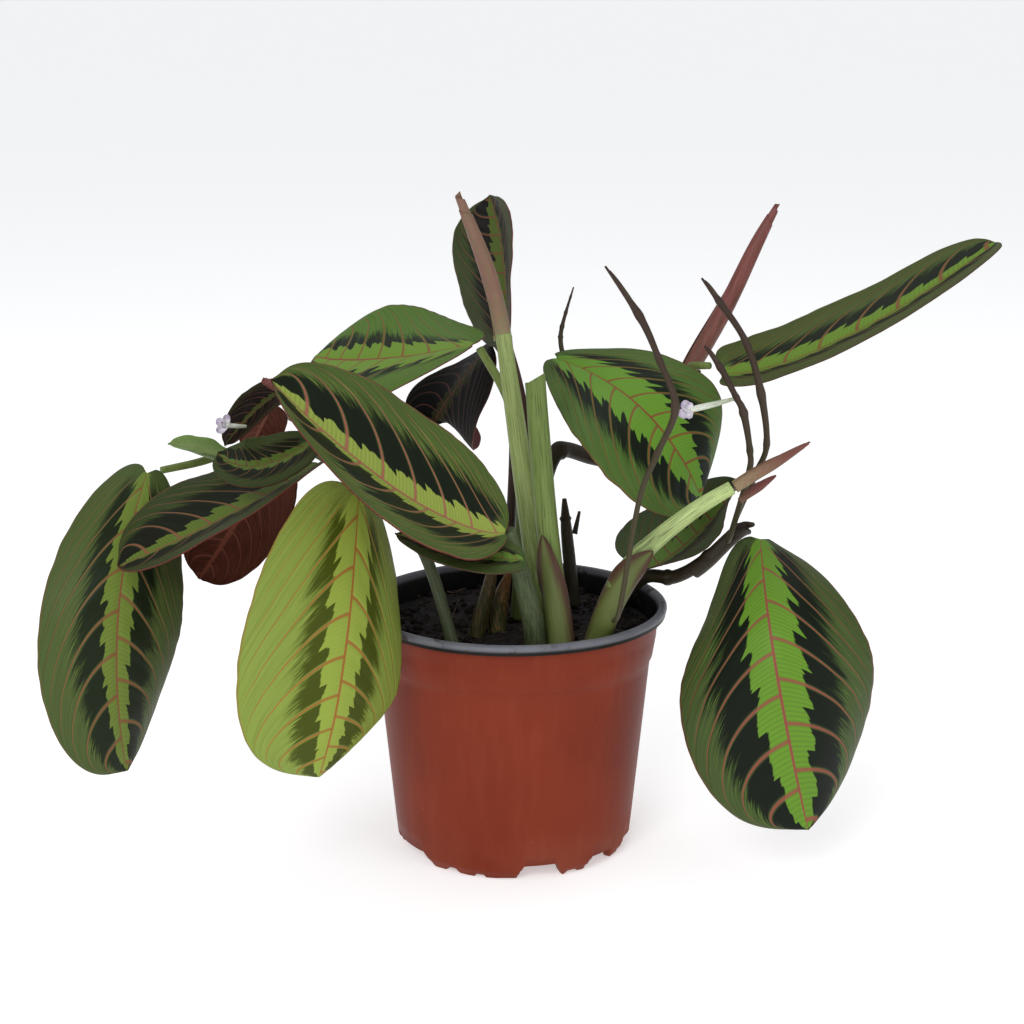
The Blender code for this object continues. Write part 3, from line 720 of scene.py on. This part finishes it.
folded_leaf = dict(base=(-88, 12, 179), mid=(-98, 5, 174), tip=(-110, -3, 161),
                   faces=(-0.3, -0.8, 0.5), half=8, fold=(25, 25), round=0.9)
add_leaf("folded_leaf", folded_leaf,
         leaf_face("folded_leaf_face", paint("3f4a20"), paint("2a2a14"), paint("140c08"), paint("5c3228"),
                   band=0.6, blotch=0.8, streak=0.3, seed=97), MAROON, 97, 48, 28)


# Leaves seen from behind: two hang behind the left shoot with their maroon backs to the front, one
# large and low, one small and high.
back_of_leaf = leaf_face("hidden_leaf_face", paint("4c5e28"), paint("3a4a24"), paint("171c0e"),
                         paint("7a4638"), seed=99)
red_back = leaf_back("leaf_back_red", paint("5c3020"), paint("8a4d3c"), 4)
pink_back = leaf_back("leaf_back_pink", paint("6e3d2f"), paint("9a6353"), 5)
red_backed_leaf = dict(base=(-96, 20, 150), mid=(-109, 22, 126), tip=(-124, 12, 104),
                       faces=(0.1, 0.97, 0.2), half=19, fold=(8, 8), curl=10)
add_leaf("red_backed_leaf", red_backed_leaf, back_of_leaf, red_back, 101, 72, 40)
pink_backed_leaf = dict(base=(-95, 24, 171), mid=(-99, 27, 163), tip=(-105, 26, 152),
                        faces=(0.1, 0.97, 0.2), half=9, fold=(8, 8))
add_leaf("pink_backed_leaf", pink_backed_leaf, back_of_leaf, pink_back, 103, 48, 28)


# Stems, petioles and stubs: round fleshy stalks with fine ribs, slightly swollen at their joints, each
# shading from its darker or redder foot to its paler top.
def stem_surface(name, low, high, spots, seed, turn=0.5, gloss=0.42):
    """From the low colour to the high one, half way at turn along the stem, with ribs and dark spots."""
    material, shader, loose = new_surface(name, gloss, Specular_IOR_Level=0.18)
    chart = loose.blade()
    along = chart.axis(0)
    place = loose.local()
    angle = chart.axis(1) * math.tau
    lanes = chart.vector(angle.math("COSINE") * 2.2, angle.math("SINE") * 2.2, along * 2.5 + seed)
    ribs = loose.grain(lanes, 4.0, 3.0, 0.6)
    cloud = loose.grain(place, 110.0, 3.0)
    tint = (along + (ribs - 0.5) * 0.3).rise(turn - 0.45, turn + 0.45).blend(low, high)
    pale = tuple(min(1.0, c * 1.28 + 0.01) for c in high)
    deep = tuple(c * 0.5 for c in low)
    tint = (ribs.rise(0.50, 0.66) * 0.6).blend(tint, pale)
    tint = ((1 - ribs.rise(0.34, 0.46)) * 0.6).blend(tint, deep)
    tint = (cloud.rise(0.55, 0.75) * spots).blend(tint, deep)
    tint = (loose.grain(place, 420.0, 1.0).rise(0.66, 0.7) * spots).blend(tint, deep)
    feed(shader, "Base Color", tint)
    feed(shader, "Roughness", ribs * 0.2 + gloss - 0.1)
    raise_bumps(shader, ribs + cloud * 0.3, 0.0004, 0.5)
    return material


def joints(*places, height=0.1, width=0.018):
    """A swell function with a soft ring at each of these places along a stem."""
    def swell(along, turn):
        wave = 0.03 * noise.noise(Vector((math.cos(turn), math.sin(turn), along * 7)))
        return 1 + wave + sum(height * math.exp(-((along - place) / width) ** 2) for place in places)
    return swell


def add_stem(node, route, material, swell=None, rows=64, tilt=0.0):
    """A round stalk in the CAD node's place; tilt slants the cut at its top."""
    bm = bmesh.new()
    grow_tube(bm, route, rows, 22, swell or joints(), tilt)
    thing = show(f"{node}_stalk", bm, material)
    settle(thing, node)
    hang(thing, node)


FOOT_Z = soil_high.z / MM + 0.4
green_stem = stem_surface("green_stem", paint("65743a"), paint("88965c"), 0.1, 1)
add_stem("tall_shoot", [(12, -28, FOOT_Z, 4.0), (9.8, -22, 108, 4.3), (7, -16, 128, 4.4), (1, -8, 168, 3.7),
                        (-4, -3, 203, 3.0)], green_stem, joints(0.36, 0.98, height=0.08))
cut_green = stem_surface("cut_stem_green", paint("4c5228"), paint("687a40"), 0.12, 2, 0.35)
CUT_STEM = [(18, -38, FOOT_Z, 4.4), (16, -34, 107, 4.5), (14, -30, 122, 4.3), (11, -25, 151, 4.2),
            (8, -20, 190, 3.9)]
add_stem("cut_stem", CUT_STEM, cut_green, joints(0.30, height=0.08), tilt=-0.5)
grey_stem = stem_surface("grey_stem", paint("3a412a"), paint("4a5538"), 0.3, 3)
add_stem("front_shoot", [(8.5, -41.5, FOOT_Z, 4.0), (7, -43, 102, 4.0), (4, -45, 116, 3.7), (-2, -50, 139, 2.6)],
         grey_stem)
add_stem("left_shoot", [(-22, -38, FOOT_Z, 2.4), (-34, -28, 125, 2.2), (-54, -8, 142, 2.0), (-78, 6, 156, 1.9),
                        (-98, 8, 160, 1.8)], grey_stem, joints(0.04, 0.55, 0.8))
right_green = stem_surface("right_shoot_green", paint("455026"), paint("a9bb7b"), 0.05, 4, 0.5)
RIGHT_SHOOT = [(30, -34, FOOT_Z, 4.0), (38, -39, 112, 4.4), (47, -41, 127, 3.6), (65, -42, 143, 3.0),
               (80, -40, 152, 2.6)]
add_stem("right_shoot", RIGHT_SHOOT, right_green, joints(0.28, 0.52, height=0.08))
brown_stem = stem_surface("brown_stem", paint("2b2a1a"), paint("3a2f22"), 0.3, 5)
REAR_SHOOT = [(40, 18, FOOT_Z, 2.8), (52, 15, 102, 2.7), (64, 8, 104.5, 2.7), (75, 2, 113, 2.5),
              (87, -1, 126, 2.0), (92, -9, 130, 0.9)]
add_stem("rear_shoot", REAR_SHOOT, brown_stem, joints(0.35, 0.62, height=0.25))
add_stem("runner", [(10, 14, FOOT_Z, 3.2), (10, 16, 125, 3.2), (17, 22, 152, 3.2), (36, 40, 146, 3.0),
                    (58, 51, 152, 2.8), (73.4, 50, 181, 3.0)], brown_stem,
         joints(0.42, 0.6, 0.8, height=0.22), rows=90)
add_stem("forked_stub", [(24, 24, FOOT_Z, 2.6), (21, 30, 117, 2.4), (20, 32, 131, 0.9)], brown_stem,
         joints(0.66, height=0.3))
add_stem("stub_branch", [(24.6, 34, 116, 1.2), (26.6, 36, 125, 0.6)], brown_stem, rows=16)
upper_green = stem_surface("upper_petiole_green", paint("4b5a2c"), paint("6b7a3e"), 0.1, 6)
add_stem("upper_petiole", [(1, 6, FOOT_Z, 2.2), (3, 10, 140, 2.1), (-1, 12, 172, 1.9), (-13, 9, 196, 1.6)],
         upper_green)
red_stem = stem_surface("red_brown_petiole", paint("2c2118"), paint("4a3023"), 0.2, 7)
add_stem("tall_petiole", [(6, 25, FOOT_Z, 2.2), (8, 30, 140, 2.1), (3, 37, 172, 1.9), (-2.6, 44, 193, 1.6)],
         red_stem)
add_stem("dark_petiole", [(-3, 31, FOOT_Z, 2.0), (0, 43, 150, 1.9), (-3, 50, 182, 1.7), (-8.6, 57.4, 191.2, 1.3)],
         red_stem)
add_stem("centre_petiole", [(33, 45, 150.5, 1.6), (27, 50, 168, 1.6), (19, 41, 184.5, 1.5)], red_stem,
         rows=32)
add_stem("arm_petiole", [(72, 40, 182, 1.6), (70, 27, 186, 1.6), (76.4, 19.8, 187.4, 1.4)], upper_green,
         rows=32)
add_stem("low_petiole", [(38, 0, FOOT_Z, 2.0), (42, 1, 102, 1.8), (49, 3.6, 108.4, 1.3)], upper_green,
         rows=32)
add_stem("left_petiole", [(-101, 8, 159.5, 1.6), (-119, 5, 153, 1.6), (-134.5, -6, 151.5, 1.4)], upper_green,
         rows=32)
add_stem("yellow_petiole", [(-50, -14, 144, 1.5), (-51, -34, 153, 1.5), (-55, -49.5, 154.5, 1.4)],
         upper_green, rows=32)


# Flower stalks: thin wiry brown stalks that bend at each joint, with a pointed bract hugging each joint
# and a longer one at the tip.
wiry = stem_surface("flower_stalk_brown", paint("44402a"), paint("3b2b26"), 0.1, 9)
STALKS = {
    "front_flower_stalk": [(37, -44, 103, 0.9), (39, -54, 112, 1.0), (45, -57, 152, 1.0),
                           (51, -58, 169, 1.1), (57, -62, 187, 1.3), (51, -60, 204, 1.1),
                           (44, -58, 219, 1.3), (32, -55, 236, 0.4)],
    "inner_flower_stalk": [(83, -1, 122, 1.0), (83.5, -7.5, 127, 1.1), (88, -22, 154, 1.2),
                           (88, -24, 163, 1.1), (85, -26, 178, 1.4), (82, -27, 184, 1.1),
                           (76, -27, 195, 1.2), (70, -26, 203, 0.4)],
    "outer_flower_stalk": [(85, 0, 124, 1.0), (86, 3.6, 129, 1.1), (92, -10, 151, 1.2),
                           (95, -17, 164, 1.1), (92, -20, 184, 1.4), (86, -20, 203, 1.2),
                           (76, -20, 218, 1.2), (69, -20, 227, 0.4)],
    "thin_bract": [(20, 47, 186, 1.0), (19, 48, 196, 0.9), (24, 50, 214, 0.3)],
}
STALK_JOINTS = (0.43, 0.57, 0.71, 0.86)
for node, route in STALKS.items():
    bm = bmesh.new()
    grow_tube(bm, route, 84, 10, joints(*STALK_JOINTS, height=0.28))
    for count, joint in enumerate(STALK_JOINTS if len(route) > 3 else ()):
        lean = Vector(((-0.9, 0.9)[count % 2], -0.5, 0.0, 0.0))
        scale = [smooth_route(route, joint + rise * 0.09) + lean * min(rise, 1) * 0.8
                 for rise in (0, 0.5, 1, 1.35)]
        for spot, radius in zip(scale, (1.0, 0.85, 0.5, 0.1)):
            spot[3] = radius
        grow_tube(bm, scale, 10, 8)
    stalk = show(f"{node}_stalk", bm, wiry)
    settle(stalk, node, by_top=True)
    hang(stalk, node)


# Rolled young leaves: blades still wound into a tapering spear, so one free edge spirals round the
# outside and the top is cut obliquely where the winding ends.
ROLL_TURNS = 2.1
ROLL_SLANT = 0.16
ROLL_INWARDS = 0.30


def add_roll(node, route, material, rows=72):
    """A blade wound round the route, each turn a little tighter than the one outside it."""
    def place(along, across):
        reach = along * (1 - ROLL_SLANT * (1 - across))
        turn = -math.tau * (across * ROLL_TURNS + reach * 0.35) + 0.6
        here, direction, out = around(route, reach, turn)
        radius = here[3] * (1.04 - ROLL_INWARDS * across + 0.05 * math.sin(9 * reach + turn))
        return (Vector(here[:3]) + out * radius) * MM

    bm = bmesh.new()
    unfurl(bm, rows, 64, place)
    thing = show(f"{node}_winding", bm, material)
    settle(thing, node, by_top=True)
    thicken(thing, 0.25 * MM)
    hang(thing, node)


rolled_pink = stem_surface("rolled_leaf_pink", paint("8d9466"), paint("795a4c"), 0.1, 11, 0.25)
add_roll("tall_rolled_leaf", [(-4, -3, 201, 3.4), (-4.6, -2.8, 206, 3.3), (-11, -1, 230, 3.1),
                              (-21, 1, 256, 1.8)], rolled_pink)
rolled_red = stem_surface("rolled_leaf_red", paint("6c5a44"), paint("74433e"), 0.1, 12, 0.2)
add_roll("upper_rolled_leaf", [(69, 50, 175, 3.4), (74, 50, 184.6, 3.9), (85.5, 51, 206, 3.6),
                               (96.5, 52, 229, 2.9), (105.5, 53, 246, 1.5)], rolled_red)
rolled_tan = stem_surface("rolled_leaf_tan", paint("8c7a5c"), paint("6c4038"), 0.1, 13, 0.4)
add_roll("right_rolled_leaf", [(81, -40, 152.6, 2.4), (95, -38, 161, 2.2), (109, -35, 168.5, 0.6)], rolled_tan)
add_roll("right_young_leaf", [(84, -30, 145, 1.2), (91, -28, 150, 1.8), (98, -26, 154, 0.5)], rolled_red,
         rows=40)
add_roll("left_rolled_tip", [(-82, -2, 176, 1.5), (-88, -3, 181, 1.8), (-95, -5, 186, 1.6)], rolled_red,
         rows=40)
add_roll("young_shoot", [(-6, -12, FOOT_Z, 3.6), (-5, -11, 102, 3.2), (-1, -10, 113, 0.8)],
         stem_surface("young_shoot_olive", paint("3c3f22"), paint("7a4f28"), 0.2, 14, 0.75))
add_roll("side_shoot", [(-14, -18, FOOT_Z, 3.2), (-10, -17, 106, 2.9), (-7, -16, 120, 1.2)],
         stem_surface("side_shoot_olive", paint("343319"), paint("5a4326"), 0.2, 15, 0.8))


# Sheaths and bracts: thin leaf bases wrapped half round a stem, with dry brown edges and a pointed tip,
# a small folded bract at the left shoot and a dry scrap on the soil.
def sheath_surface(name, middle, edge, seed):
    """Ribbed lengthwise, from the middle's colour to the colour of the edges and the tip."""
    material, shader, loose = new_surface(name, 0.5, Specular_IOR_Level=0.3)
    chart = loose.blade()
    along = chart.axis(0)
    across = abs(chart.axis(1) * 2 - 1)
    ribs = loose.grain(chart.vector(along * 2, across * 9, seed), 2.0, 3.0)
    tint = (across + along * 0.4 + (ribs - 0.5) * 0.5).rise(0.45, 1.0).blend(middle, edge)
    feed(shader, "Base Color", (ribs.rise(0.5, 0.75) * 0.4).blend(tint, tuple(c * 0.5 for c in middle)))
    feed(shader, "Roughness", ribs * 0.2 + 0.38)
    raise_bumps(shader, ribs, 0.0004, 0.6)
    return material


green_sheath = sheath_surface("sheath_green", paint("5a6432"), paint("4a2f22"), 1)
brown_sheath = sheath_surface("sheath_brown", paint("3a3426"), paint("2e201c"), 2)


def add_wrap(node, route, foot, tip, front, spread, material):
    """A sheath round a stem's route, from foot to tip along it, its middle facing the angle front."""
    def place(along, across):
        turn = front - (across - 0.5) * spread * (1 - along ** 2.2) ** 0.7
        here, direction, out = around(route, foot + (tip - foot) * along, turn)
        edge = abs(2 * across - 1) ** 4
        clear = here[3] + 0.5 + 0.9 * along ** 3 + 0.4 * edge + 0.15 * math.sin(11 * along + 6 * across)
        return (Vector(here[:3]) + out * clear) * MM

    bm = bmesh.new()
    unfurl(bm, 70, 36, place)
    thing = show(f"{node}_wrap", bm, material)
    thicken(thing, 0.3 * MM)
    hang(thing, node)


# Middles of the three sheaths face half pi, the front, or a little beside it.
add_wrap("cut_stem_sheath", CUT_STEM, 0.0, 0.60, 1.3, 3.6, green_sheath)
add_wrap("right_sheath", RIGHT_SHOOT, 0.0, 0.56, 1.7, 4.4, green_sheath)
add_wrap("rear_sheath", REAR_SHOOT, 0.52, 1.0, 1.6, 4.6, brown_sheath)
boat_bract = dict(base=(-107, -3, 153), mid=(-118, -9, 158.5), tip=(-130, -13, 163.5),
                  faces=(0, -0.4, 0.9), half=7, fold=(30, 30), curl=20)
bract_green = sheath_surface("bract_green", paint("80945a"), paint("6f8a48"), 3)
add_leaf("boat_bract", boat_bract, bract_green, bract_green, 9, 48, 24, 0.4 * MM)
dry = sheath_surface("dry_scrap_tan", paint("a07a52"), paint("7a5638"), 5)
dry_scrap = dict(base=(13, -50, 90), mid=(16.5, -50.2, 91), tip=(20, -50, 90), faces=(0, 0, 1), half=1.8,
                 fold=(10, 10), lobe=0, quilt=0.1, ripple=0.3, drip=0.3)
add_leaf("dry_scrap", dry_scrap, dry, dry, 10, 20, 12, 0.3 * MM)


# Flowers: a slender white tube from a green calyx, opening into small mauve petals of uneven size. The
# right one lies nearly level, the left one is shorter.
tube_white = stem_surface("flower_tube_white", paint("7e8c64"), paint("d6dacd"), 0.0, 21, 0.25, 0.5)
petal_mauve, shader, loose = new_surface("petal_mauve", 0.55)
blush = loose.blade().axis(0).rise(0.2, 0.9) * 0.6 + loose.grain(loose.local(), 500.0).rise(0.5, 0.7) * 0.4
feed(shader, "Base Color", blush.blend(paint("dcdade"), paint("9a84a8")))


def add_flower(node, route, petals):
    """A tube along the route and petals at its end, each (heading, length, half width) in millimetres."""
    bm = bmesh.new()
    grow_tube(bm, route, 28, 14)
    mouth = Vector(route[-1][:3])
    for heading, length, width in petals:
        heading = Vector(heading).normalized()
        blade = dict(base=mouth, mid=mouth + heading * length * 0.55 + Vector((0, -0.4, 0.3)),
                     tip=mouth + heading * length, faces=(0.15, -0.9, 0.4), half=width, fold=(10, 10),
                     curl=25, quilt=0.0, ripple=0.3, drip=0.2, round=0.7)
        place, chart = leaf_place(blade, length)
        before = len(bm.faces)
        unfurl(bm, 14, 10, place, chart)
        bm.faces.ensure_lookup_table()
        for face in bm.faces[before:]:
            face.material_index = 1
    thing = show(f"{node}_petals", bm, tube_white, petal_mauve)
    settle(thing, node)
    thicken(thing, 0.12 * MM)
    hang(thing, node)


add_flower("right_flower",
           [(80, -29, 184, 0.7), (73, -31, 182.5, 1.1), (67, -33, 181.5, 1.2), (64, -34, 181, 1.0)],
           (((-1, -0.2, 0.7), 4.2, 2.0), ((-1, -0.3, -0.6), 4.6, 2.1), ((-0.3, -0.6, 1.0), 3.2, 1.4),
            ((-0.2, -0.5, -1.0), 3.4, 1.3), ((-1, -0.6, 0.0), 3.0, 1.2)))
add_flower("left_flower", [(-100, -14, 170.5, 0.7), (-104, -16.4, 171.2, 0.9), (-107, -18, 171.8, 1.0)],
           (((-1, -0.3, 0.5), 4.0, 1.8), ((-0.8, -0.3, -0.7), 4.0, 1.8), ((0.2, -0.4, 1.0), 4.8, 1.5),
            ((-0.4, -0.7, 0.2), 3.0, 1.2)))
